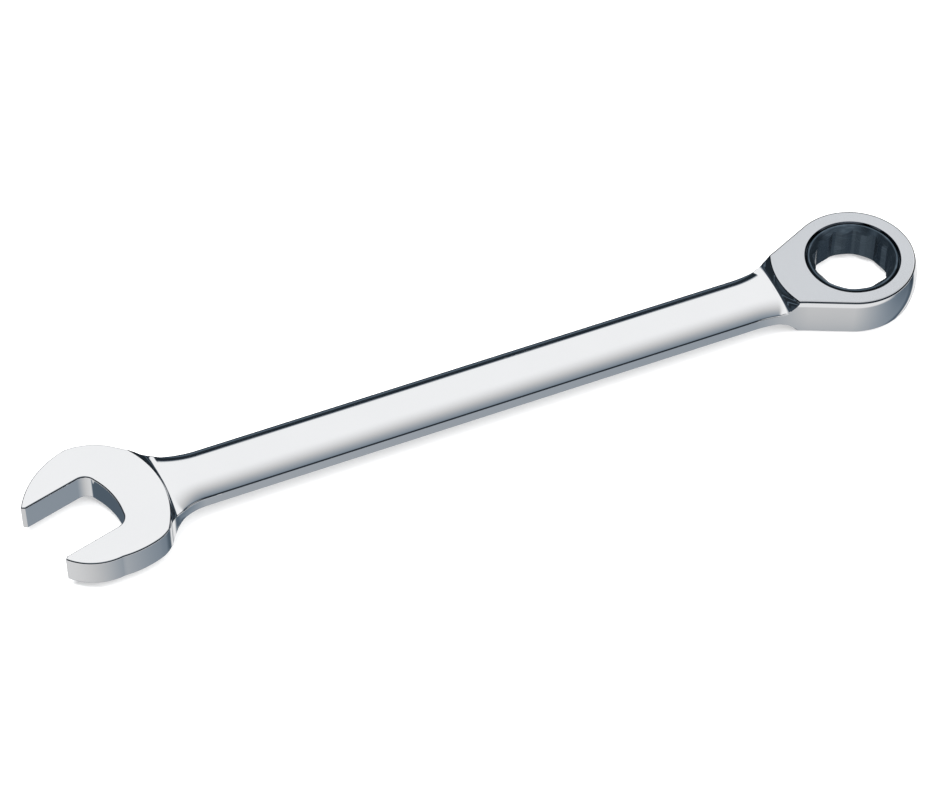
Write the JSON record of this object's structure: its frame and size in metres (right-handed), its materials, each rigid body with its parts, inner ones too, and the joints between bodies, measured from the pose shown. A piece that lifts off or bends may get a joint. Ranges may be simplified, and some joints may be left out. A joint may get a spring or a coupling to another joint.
{
  "type": "ratcheting combination wrench",
  "caption": "Steel combination wrench with an angled open jaw at one end and a ratcheting twelve-point ring at the other, on a slim crowned shank.",
  "frame": {"origin": "centre of the drive socket, on its axis at mid-thickness of the ring head", "axes": "+X along the wrench from the open jaw towards the ring, +Z square to the flat faces on the lip side"},
  "size_m": [0.2238, 0.0349, 0.0104],
  "materials": {
    "chrome_plate": "polished chrome plate",
    "black_oxide": "blue-black oxide on machined steel",
    "pawl_steel": "hardened steel, dark",
    "spring_steel": "bright drawn wire",
    "clip_steel": "phosphated spring steel"
  },
  "bodies": {
    "wrench": {"wrench_body": "chrome_plate", "retaining_ring": "clip_steel", "pawl_spring": "spring_steel"},
    "gear": {"ratchet_gear": "black_oxide"},
    "pawl": {"ratchet_pawl": "pawl_steel"}
  },
  "joints": [
    {"name": "gear_spin", "type": "hinge", "parent": "wrench", "child": "gear", "pos_m": [0, 0, 0], "axis": [0, 0, 1], "continuous": true},
    {"name": "pawl_slide", "type": "slide", "parent": "wrench", "child": "pawl", "axis": [-1, 0, 0], "range_m": [0, 0.0008], "stiffness_N_per_m": 500, "springref_m": -0.002, "deforming": ["pawl_spring"]}
  ]
}
